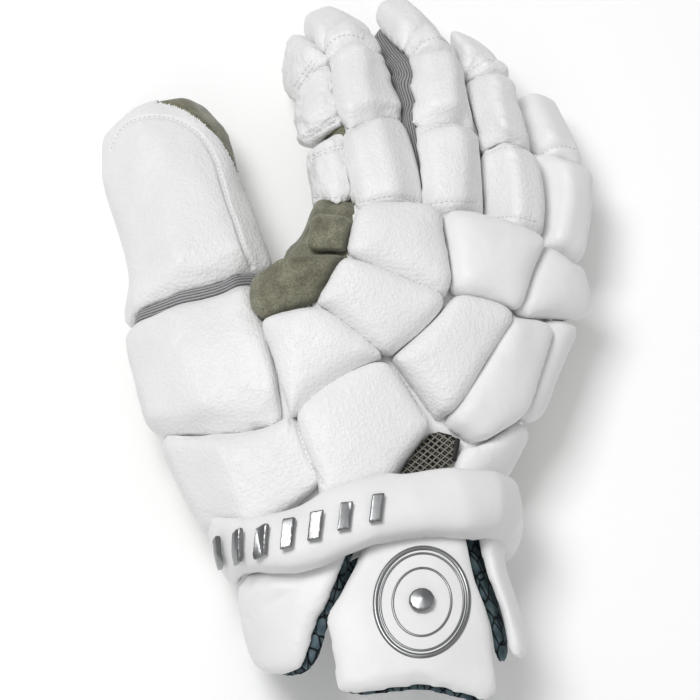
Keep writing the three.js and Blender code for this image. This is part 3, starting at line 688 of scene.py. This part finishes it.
def makeCovers():
    shellTree = treeOf([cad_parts[name] for name in shellNodes])
    made = {}
    for node, changes in covers.items():
        style = {**coverDefaults, **changes}
        obj = copyNode(node, f"{node}_cover")
        remesh(obj, style["voxel"])
        grow(obj, style["grow"])
        relax(obj, style["relax"])
        made[node] = (obj, style, pointsOf(obj))
    for obj, style, _ in made.values():
        addCloth(obj, style["pressure"])
    for step in range(1, swellSteps + 1):
        scene.frame_set(step)
    for obj, style, before in made.values():
        applyModifier(obj, obj.modifiers["swell"])
        capSwelling(obj, before, style, shellTree)
    scene.frame_set(1)
    for seed, (obj, style, _) in enumerate(made.values()):
        subdivide(obj, 1)
        addFolds(obj, style["folds"], style["foldSize"], seed)
        shiftPiece(obj)
    pieces = {node: obj for node, (obj, _, _) in made.items()}
    return pieces, {node: style for node, (_, style, _) in made.items()}


coverPieces, coverStyles = makeCovers()
print("covers swollen")


# Suede shell, leather back, knit gussets and the two suede web pads
webPads = {"finish": oliveSuede, "slot": "palm_suede", "voxel": 1.3 * mm, "relax": 10, "folds": 0.5 * mm}
shellStyles = {
    "palm_suede": {"finish": oliveSuede, "slot": "palm_suede", "voxel": 1.1 * mm, "ratio": 0.5},
    "thumb_suede": {"finish": oliveSuede, "slot": "palm_suede"},
    "index_suede": {"finish": oliveSuede, "slot": "palm_suede"},
    "middle_suede": {"finish": oliveSuede, "slot": "palm_suede"},
    "ring_suede": {"finish": oliveSuede, "slot": "palm_suede"},
    "back_base": {"finish": smoothLeather, "slot": "white_leather"},
    "middle_gusset": {"finish": greyKnit, "slot": "finger_knit"},
    "ring_gusset": {"finish": greyKnit, "slot": "finger_knit"},
    "pinky_gusset": {"finish": greyKnit, "slot": "finger_knit"},
    "web_pad": webPads,
    "web_upper_pad": webPads,
    "wrist_vent": {"finish": latticeMesh, "slot": "vent_mesh", "voxel": 0.9 * mm, "relax": 1},
    "thumb_elastic": {"finish": silverElastic, "slot": "thumb_elastic", "voxel": 0.9 * mm, "grow": 1.3 * mm},
    "flap_thumb_side_lining": {"finish": cellLining, "slot": "printed_lining"},
    "flap_middle_lining": {"finish": cellLining, "slot": "printed_lining"},
    "flap_finger_side_lining": {"finish": cellLining, "slot": "printed_lining"},
}
shellDefaults = {
    "voxel": 1.0 * mm,
    "grow": 0.0,
    "relax": 12,
    "ratio": 0.6,  # of the faces that stay
    "folds": 0.0,
    "foldSize": 12 * mm,
}
firstFold = 50  # seeds of the shell's folds, apart from the covers'
ribSlices = 24  # that a knit tube's middle line is found from


def ribPlaces(obj):  # distance round a knit tube, so that the ribs run along it
    points = pointsOf(obj)
    middle = points.mean(axis=0)
    lengthways = np.linalg.svd(points - middle, full_matrices=False)[2][0]
    along = (points - middle) @ lengthways
    order = np.argsort(along)
    slices = np.array_split(order, ribSlices)
    knots = np.array([along[part].mean() for part in slices])
    lows = np.array([points[part].min(axis=0) for part in slices])
    highs = np.array([points[part].max(axis=0) for part in slices])
    centres = (lows + highs) / 2
    centre = np.stack([np.interp(along, knots, centres[:, i]) for i in range(3)], axis=1)
    side = np.cross(lengthways, [0, 0, 1])
    side /= np.linalg.norm(side)
    upward = np.cross(side, lengthways)
    out = points - centre
    angle = np.arctan2(out @ side, out @ upward)
    return angle * np.median(np.linalg.norm(out, axis=1))


def storeRibs(obj, values):
    attribute = obj.data.attributes.new("ribPlace", "FLOAT", "POINT")
    attribute.data.foreach_set("value", values.astype(np.float32))


def makeShells():
    made = {}
    for seed, (node, changes) in enumerate(shellStyles.items()):
        style = {**shellDefaults, **changes}
        obj = copyNode(node, f"{node}_piece")
        remesh(obj, style["voxel"])
        grow(obj, style["grow"])
        relax(obj, style["relax"])
        thin(obj, style["ratio"])
        if style["folds"]:
            addFolds(obj, style["folds"], style["foldSize"], firstFold + seed)
        if node.endswith("_gusset"):
            storeRibs(obj, ribPlaces(obj))
        if node == "thumb_elastic":
            storeRibs(obj, pointsOf(obj) @ np.array([0.0, 1.0, 0.0]))
        shiftPiece(obj)
        smoothShade(obj)
        finishPiece(obj, style["finish"], style["slot"], node)
        made[node] = obj
    return made


shellPieces = makeShells()
print("shell made")


# Seams: a pressed line in the leather, with a row of thread in it
seamDefaults = {"width": 1.5 * mm, "depth": 0.55 * mm}
grooveStep = 0.6 * mm  # between the points that a groove is pressed at
seams = {
    "thumb_hem": {
        "pieces": ["thumb_tip_pad"],
        "width": 2.0 * mm,
        "depth": 0.9 * mm,
        "lines": [[(111, 150), (113.5, 142), (118, 132), (127.5, 123), (138.5, 118), (151, 116), (165, 116.5),
                   (177.5, 120), (188.5, 125.5), (199, 133.5), (208, 145), (215, 158), (219.5, 172.5),
                   (223, 185), (227.5, 200.5), (232, 213), (237, 225.5), (241, 239), (246.5, 254),
                   (252.5, 268)]],
    },
    "index_arc": {
        "pieces": ["index_joint_pad", "index_tip_pad"],
        "lines": [[(323, 62), (324, 53), (327.5, 45), (333.5, 39), (340.5, 35.5), (348.5, 34.5), (357, 36),
                   (365, 40)]],
    },
    "middle_arc": {
        "pieces": ["middle_joint_pad", "middle_tip_pad"],
        "lines": [[(412.5, 54), (421, 43.5), (430, 38), (440, 37.5), (448.5, 42.5), (453, 51)]],
    },
    "ring_arc": {
        "pieces": ["ring_joint_pad", "ring_tip_pad"],
        "lines": [[(466, 76), (471, 69.5), (479, 62.5), (487, 59), (496, 61)]],
    },
    "pinky_arc": {
        "pieces": ["pinky_tip_pad"],
        "width": 1.8 * mm,
        "lines": [[(541.5, 153.5), (549, 149.5), (558.5, 146), (569, 147), (577, 150)]],
    },
    "index_side_hems": {
        "pieces": ["index_side_tip", "index_side_middle", "index_side_base"],
        "width": 1.2 * mm,
        "depth": 0.4 * mm,
        "lines": [
            [(316, 62), (311, 70), (303, 81), (297, 92)],
            [(313, 60), (307, 68), (299, 79), (293, 88)],
            [(340, 119), (331, 124.5), (319, 131), (309, 138)],
            [(338, 115), (329, 121), (318, 127), (306, 134)],
            [(348, 144), (334, 146.5), (322, 150.5), (311, 157)],
            [(348, 147.5), (334, 150), (322, 154), (311, 160)],
            [(310, 197), (326, 197.5), (349, 198)],
        ],
    },
    "heel_seam": {
        "pieces": ["heel_pad", "thumb_base_pad", "back_thumb_pad"],
        "width": 1.4 * mm,
        "lines": [[(297, 424), (299, 432), (304, 449), (310.5, 464), (319, 478), (325, 486)]],
    },
    "back_valley": {
        "pieces": ["back_base", "heel_pad", "back_middle_pad"],
        "width": 1.2 * mm,
        "depth": 0.3 * mm,
        "lines": [[(394, 367), (402, 379), (413, 397), (426, 419)]],
    },
    "finger_base_hems": {
        "pieces": ["index_base_pad", "middle_base_pad", "ring_base_pad"],
        "width": 1.2 * mm,
        "depth": 0.35 * mm,
        "lines": [
            [(350, 131), (362, 122), (376, 118), (390, 117.5), (399, 119)],
            [(420, 134), (432, 128), (446, 125.5), (461, 125), (472, 127)],
            [(486, 155), (497, 149), (510, 146.5), (525, 149)],
            [(358, 203), (375, 199), (390, 195.5), (405, 198), (418, 203)],
            [(423, 206), (440, 202), (458, 200.5), (478, 203)],
            [(489, 219), (505, 216), (522, 217.5), (539, 223)],
        ],
    },
}
stitchLook = {"length": 1.45 * mm, "gap": 0.75 * mm, "radius": 0.24 * mm, "lift": 0.06 * mm}


def makeStitch():
    deselectAll()
    bpy.ops.mesh.primitive_uv_sphere_add(segments=6, ring_count=6, radius=1)
    return bpy.context.object


def joined(pieces, name):
    deselectAll()
    for piece in pieces:
        piece.select_set(True)
    bpy.context.view_layer.objects.active = pieces[0]
    if len(pieces) > 1:
        bpy.ops.object.join()
    pieces[0].name = name
    return pieces[0]


def addThread(name, trees, lines):
    model = makeStitch()
    copies = []
    for line in lines:
        places, normals = castPath(trees, line, stitchLook["length"] + stitchLook["gap"])
        for place, after, normal in zip(places, places[1:], normals):
            along = Vector(after - place).normalized()
            side = Vector(normal).cross(along).normalized()
            upward = along.cross(side)
            middle = Vector(place + after) / 2 + upward * stitchLook["lift"]
            half = stitchLook["length"] / 2
            radius = stitchLook["radius"]
            turned = Matrix((side * radius, upward * radius, along * half)).transposed().to_4x4()
            copy = bpy.data.objects.new("stitch", model.data.copy())
            copy.data.transform(Matrix.Translation(middle) @ turned)
            scene.collection.objects.link(copy)
            copies.append(copy)
    bpy.data.objects.remove(model)
    if not copies:
        print("no place for thread", name)
        return
    thread = joined(copies, f"{name}_thread")
    smoothShade(thread)
    # the thread's grey colour is painted shade on white thread
    finishPiece(thread, threadWithPaintedShade, "white_leather")


def sewSeams():
    for name, changes in seams.items():
        seam = {**seamDefaults, **changes}
        pieces = [coverPieces.get(node) or shellPieces[node] for node in seam["pieces"]]
        trees = treesOf(pieces)
        for line in seam["lines"]:
            places, _ = castPath(trees, line, grooveStep)
            for piece in pieces:
                pressGroove(piece, places, seam["width"], seam["depth"])
        bpy.context.view_layer.update()
        addThread(name, treesOf(pieces), seam["lines"])


sewSeams()
print("seams sewn")


# Where a piece changes its material, by outlines in the photograph's pixels
patches = {
    "thumb_suede": (smoothLeather, [(124, 336), (140, 160), (214, 160), (252, 280), (262, 322), (285, 411),
                                    (316, 489), (202, 523)]),
    "index_suede": (smoothLeather, [(321, 5), (372, 44), (378, 48), (402, 115), (425, 210), (353, 205),
                                    (352, 142), (341, 122), (327, 69), (320, 60)]),
    "back_base": (oliveSuede, [(262, 322), (240, 300), (240, 240), (285, 196), (355, 201), (350, 256),
                               (343, 262), (313, 305)]),
    "palm_suede": (cellLining, [(325, 600), (335, 548), (380, 530), (480, 530), (480, 620), (325, 620)]),
}
patchFacing = 0.05  # only faces that look at the camera
thumbEdge = {
    "outline": [(150, 80), (158, 102), (172, 105), (186, 111), (200, 120.5), (213, 132), (223, 144),
                (232, 160), (237, 172), (262, 172), (262, 80)],
    "width": 1.6 * mm,
    "depth": 1.1 * mm,
    "sink": 0.9 * mm,
    "facing": -2.0,  # faces of both sides
}
for node, (finish, outline) in patches.items():
    paintPatch(shellPieces[node], finish, outline, patchFacing)


def edgeThumbTip():
    piece = coverPieces["thumb_tip_pad"]
    points = pointsOf(piece)
    behind = insideOutline(photoSpots(points), thumbEdge["outline"])
    setPoints(piece, points - normalsOf(piece) * (thumbEdge["sink"] * behind)[:, None])
    places, _ = castPath(treesOf([piece]), thumbEdge["outline"][1:9], grooveStep)
    pressGroove(piece, places, thumbEdge["width"], thumbEdge["depth"])


edgeThumbTip()
for node, piece in coverPieces.items():
    smoothShade(piece)
    finishPiece(piece, coverStyles[node]["finish"], "white_leather", node)
paintPatch(coverPieces["thumb_tip_pad"], oliveSuede, thumbEdge["outline"], thumbEdge["facing"])
print("covers finished")


# Silver trim of the cuff, laid on the swollen leather
emblemLook = {
    "centre": (422, 602),
    "half": (49.5, 57.5),
    "tilt": 5.0,
    "rings": {  # share of the half size; half the width and the height, in mm
        "emblem_ring_outer": [(0.955, 1.15, 1.1), (0.858, 0.6, 0.8)],
        "emblem_ring_inner": [(0.60, 0.6, 0.7)],
    },
    "sink": 0.25 * mm,
    "probes": 96,  # places round a ring
    "smoothing": 4,  # neighbours on each side
    "tube": 0.1,
}
barLook = {
    "voxel": 0.4 * mm,
    "relax": 7,
    "lift": 0.25 * mm,
    "height": 1.3,  # share of the CAD bar's own
    "spots": [(222, 551), (240, 546), (262, 541), (287, 534), (314, 526), (343, 517), (374, 509)],  # pixels
    "studSpot": (421, 602),
}


def ringSpot(share, angle):
    tilt = math.radians(emblemLook["tilt"])
    x = emblemLook["half"][0] * share * math.cos(angle)
    y = emblemLook["half"][1] * share * math.sin(angle)
    turned = (x * math.cos(tilt) - y * math.sin(tilt), x * math.sin(tilt) + y * math.cos(tilt))
    return (emblemLook["centre"][0] + turned[0], emblemLook["centre"][1] + turned[1])


def ringLine(trees, share):
    count = emblemLook["probes"]
    reach = emblemLook["smoothing"]
    hits = [firstHit(trees, ringSpot(share, 2 * math.pi * i / count)) for i in range(count)]
    places = np.array([hit[0] for hit in hits])
    normals = np.array([hit[1] for hit in hits])
    smoothed = [
        sum(np.roll(part, shift, axis=0) for shift in range(-reach, reach + 1)) / (2 * reach + 1)
        for part in (places, normals)
    ]
    smoothed[1] /= np.linalg.norm(smoothed[1], axis=1)[:, None]
    return smoothed


def layRing(name, trees, share, width, height):
    tube = emblemLook["tube"]
    deselectAll()
    bpy.ops.mesh.primitive_torus_add(major_segments=144, minor_segments=12, major_radius=1, minor_radius=tube)
    ring = bpy.context.object
    ring.name = name
    points = pointsOf(ring)
    angles = np.arctan2(points[:, 1], points[:, 0])
    outward = (np.hypot(points[:, 0], points[:, 1]) - 1) / tube
    upward = points[:, 2] / tube
    line, normals = ringLine(trees, share)
    marks = np.mod(angles, 2 * math.pi) / (2 * math.pi) * len(line)
    counts = np.arange(len(line) + 1)
    place, normal = (
        np.stack([np.interp(marks, counts, np.append(part[:, i], part[0, i])) for i in range(3)], axis=1)
        for part in (line, normals)
    )
    away = place - line.mean(axis=0)
    away -= normal * np.sum(away * normal, axis=1)[:, None]
    away /= np.linalg.norm(away, axis=1)[:, None]
    rise = upward * height * mm - emblemLook["sink"]
    setPoints(ring, place + away * (outward * width * mm)[:, None] + normal * rise[:, None])
    return ring


def layOn(obj, spot, carrierTree, coverTrees):
    points = pointsOf(obj)
    heights = []
    for point in points:
        foot, normal, _, _ = carrierTree.find_nearest(Vector(point))
        heights.append((Vector(point) - foot).dot(normal) * barLook["height"] + barLook["lift"])
    spots = photoSpots(points)
    step = np.array(spot) - (spots.min(axis=0) + spots.max(axis=0)) / 2
    placed = slide(points, np.repeat(step[None, :], len(points), axis=0))
    for i, place in enumerate(photoSpots(placed)):
        hit = firstHit(coverTrees, place)
        if hit:
            placed[i] = hit[0] + hit[1] * heights[i]
    setPoints(obj, placed)


def addTrim():
    flapTrees = treesOf([coverPieces["flap_middle"]])
    for node, rings in emblemLook["rings"].items():
        made = [layRing(node, flapTrees, *ring) for ring in rings]
        piece = joined(made, f"{node}_foil")
        smoothShade(piece)
        finishPiece(piece, silverFoil, "silver_trim", node)
    laid = [("emblem_stud", "flap_middle", barLook["studSpot"])]
    laid += [(f"band_bar_{i}", "wrist_band", spot) for i, spot in enumerate(barLook["spots"], 1)]
    for node, carrier, spot in laid:
        piece = copyNode(node, f"{node}_foil")
        remesh(piece, barLook["voxel"])
        relax(piece, barLook["relax"])
        layOn(piece, spot, treeOf([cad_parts[carrier]]), treesOf([coverPieces[carrier]]))
        subdivide(piece, 1)
        smoothShade(piece)
        finishPiece(piece, silverFoil, "silver_trim", node)


addTrim()
print("trim laid")


# Vent: crossing strands over the dark mesh, with bound edges
ventLook = {
    "outline": [(431, 431), (458, 438), (450, 474), (388, 474)],
    "pitch": 5.2,  # pixels between strands
    "angles": (33, -42),  # degrees
    "strands": 14,  # on each side of the middle
    "steps": 60,  # each way along a strand
    "step": 1.2,  # pixels
    "radius": 0.27 * mm,
    "lift": 0.3 * mm,
    "bindings": [
        ([(432, 430), (420, 442), (407, 456), (391, 474)], 0.9 * mm),
        ([(457, 438), (456, 448), (452, 462), (449, 476)], 1.4 * mm),
        ([(430, 431), (444, 435), (458, 438)], 0.7 * mm),
    ],
    "bindingStep": 1.5 * mm,
}


def addTubes(name, paths, radius):
    deselectAll()
    bpy.ops.curve.primitive_nurbs_path_add(location=(0, 0, 0))
    tube = bpy.context.object
    tube.data.splines.clear()
    for path in paths:
        spline = tube.data.splines.new("POLY")
        spline.points.add(len(path) - 1)
        for point, place in zip(spline.points, path):
            point.co = (*place, 1)
    tube.data.bevel_depth = radius
    tube.data.bevel_resolution = 2
    tube.data.use_fill_caps = True
    activate(tube)
    bpy.ops.object.convert(target="MESH")
    tube = bpy.context.object
    tube.name = name
    return tube


def strandPaths(trees):
    centre = np.mean(ventLook["outline"], axis=0)
    paths = []
    for angle in ventLook["angles"]:
        turn = math.radians(angle)
        along = np.array([math.cos(turn), math.sin(turn)])
        across = np.array([-along[1], along[0]])
        for k in range(-ventLook["strands"], ventLook["strands"] + 1):
            path = []
            for step in range(-ventLook["steps"], ventLook["steps"] + 1):
                spot = centre + across * (k * ventLook["pitch"]) + along * step * ventLook["step"]
                if not insideOutline(spot[None], ventLook["outline"])[0]:
                    continue
                hit = firstHit(trees, spot)
                if hit:
                    path.append(hit[0] + hit[1] * ventLook["lift"])
            if len(path) > 2:
                paths.append(path)
    return paths


def addVent():
    trees = treesOf([shellPieces["wrist_vent"]])
    strands = addTubes("vent_strands", strandPaths(trees), ventLook["radius"])
    smoothShade(strands)
    finishPiece(strands, strandCord, "vent_mesh")
    for number, (line, radius) in enumerate(ventLook["bindings"], 1):
        places, _ = castPath(trees, line, ventLook["bindingStep"])
        if len(places) < 2:
            print("no place for binding", number)
            continue
        binding = addTubes(f"vent_binding_{number}", [places], radius)
        smoothShade(binding)
        finishPiece(binding, blackBinding, "vent_mesh")


addVent()
print("vent strung")


# Floor, lights and surroundings
stageLook = {
    "floorSize": 8.0,
    "floorGlow": 0.16,
    "sky": 0.28,
    "key": {"place": (-0.5, 0.4, 1.8), "size": 0.8, "power": 22},
    "fill": {"place": (1.1, -0.5, 1.3), "size": 1.4, "power": 2.5},
    "rim": {"place": (-0.6, -1.2, 1.4), "size": 0.9, "power": 3},
}


def addFloor():
    deselectAll()
    bpy.ops.mesh.primitive_plane_add(size=stageLook["floorSize"], location=(0, 0, 0))
    floor = bpy.context.object
    floor.name = "paleFloor"
    finish = Finish("floorPaint", (0.9, 0.9, 0.9), 0.8)
    finish.shader.inputs["Emission Color"].default_value = (1, 1, 1, 1)
    finish.shader.inputs["Emission Strength"].default_value = stageLook["floorGlow"]
    floor.data.materials.append(finish.material)


def addLight(name, look):
    place = Vector(look["place"])
    turned = (-place).to_track_quat("-Z", "Y").to_euler()
    bpy.ops.object.light_add(type="AREA", location=place, rotation=turned)
    light = bpy.context.object
    light.name = name
    light.data.size = look["size"]
    light.data.energy = look["power"]


def setSky():
    world = bpy.data.worlds.new("studio")
    scene.world = world
    world.use_nodes = True
    background = world.node_tree.nodes["Background"]
    background.inputs["Color"].default_value = (1, 1, 1, 1)
    background.inputs["Strength"].default_value = stageLook["sky"]


addFloor()
for name in ("key", "fill", "rim"):
    addLight(name, stageLook[name])
setSky()
scene.view_settings.view_transform = "Standard"
print("stage set")
